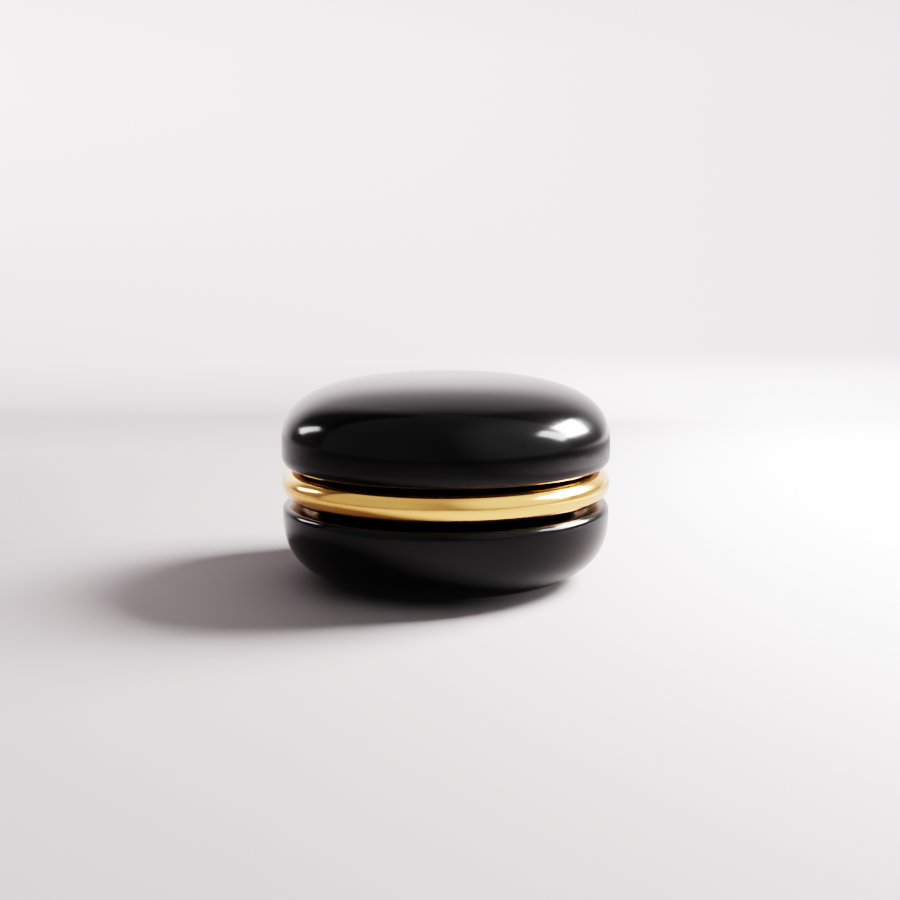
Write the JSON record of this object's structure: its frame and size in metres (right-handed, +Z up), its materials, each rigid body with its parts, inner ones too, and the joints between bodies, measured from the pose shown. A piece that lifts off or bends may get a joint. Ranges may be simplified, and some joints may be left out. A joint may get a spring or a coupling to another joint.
{
  "type": "french macaron",
  "caption": "Round french macaron: smooth glossy black shells over and under a gold filling whose rounded rim stands in the gap.",
  "frame": {"origin": "centre of the small flat spot under the lower shell, on the surface that the macaron stands on", "axes": "+Z up along the axis that every piece is turned about; +Y away from the picture's camera, +X to its right"},
  "size_m": [0.045, 0.045, 0.028],
  "materials": {
    "black_shell": "smooth black glaze with a soft satin gloss",
    "gold_filling": "polished gold, almost a mirror"
  },
  "bodies": {
    "root": {"shell_lower": "black_shell", "filling_gold": "gold_filling", "shell_upper": "black_shell"}
  },
  "joints": []
}
